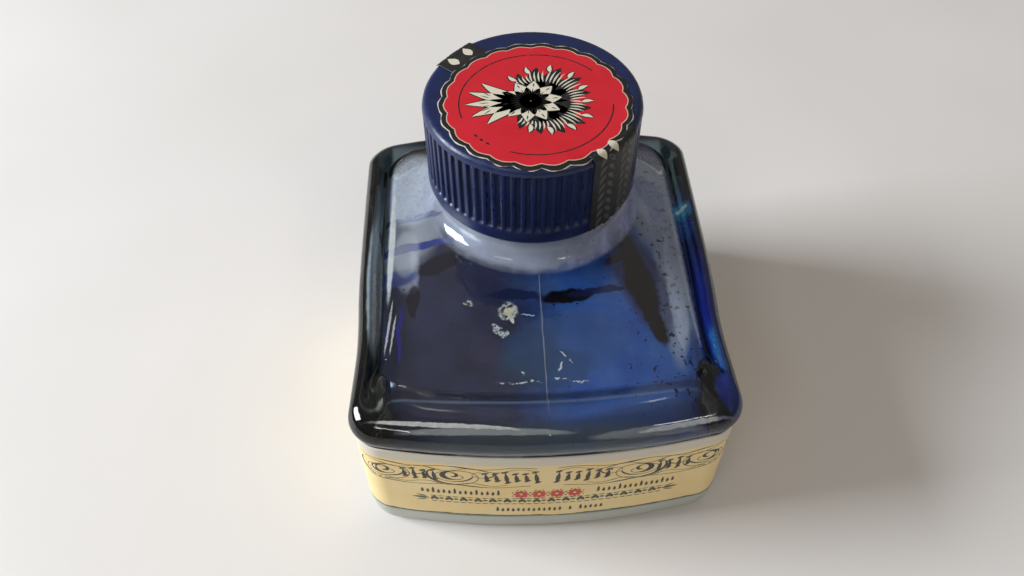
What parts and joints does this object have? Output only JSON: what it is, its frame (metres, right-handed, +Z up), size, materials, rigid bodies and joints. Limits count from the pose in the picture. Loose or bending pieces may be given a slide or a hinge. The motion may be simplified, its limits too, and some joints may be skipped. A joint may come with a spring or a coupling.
{
  "type": "ink bottle",
  "caption": "Square glass desk ink bottle with a low sloping shoulder, pen rests, an offset screw neck, a ribbed cap with a liner, and a paper label and seal.",
  "frame": {"origin": "centre of the base, on the surface that the bottle stands on", "axes": "+Z up through the neck, +Y to the back where the neck is, +X to the right of someone who faces the label"},
  "size_m": [0.058, 0.0664, 0.0526],
  "materials": {
    "bottle_glass": "clear moulded glass, stained blue on the inside",
    "ink": "liquid",
    "label_paper": "aged, matte, printed",
    "cap_plastic": "satin",
    "pulp_board": "matte",
    "waxed_facing": "waxed",
    "seal_paper": "coated, printed"
  },
  "bodies": {
    "bottle": {"glass_bottle": "bottle_glass", "ink": "ink", "wrap_label": "label_paper"},
    "liner": {"liner_board": "pulp_board", "liner_facing": "waxed_facing"},
    "cap": {"cap_shell": "cap_plastic", "seal_band": "seal_paper"}
  },
  "joints": [
    {"name": "cap_lift", "type": "slide", "parent": "bottle", "child": "liner", "axis": [0, 0, 1], "range_m": [0, 0.018]},
    {"name": "cap_turn", "type": "hinge", "parent": "liner", "child": "cap", "pos_m": [0, 0.0144, 0.045], "axis": [0, 0, 1], "range_deg": [0, 1800]}
  ],
  "couplings": [
    {"joint": "cap_lift", "follows": "cap_turn", "m_per_rad": 0.00057296}
  ]
}
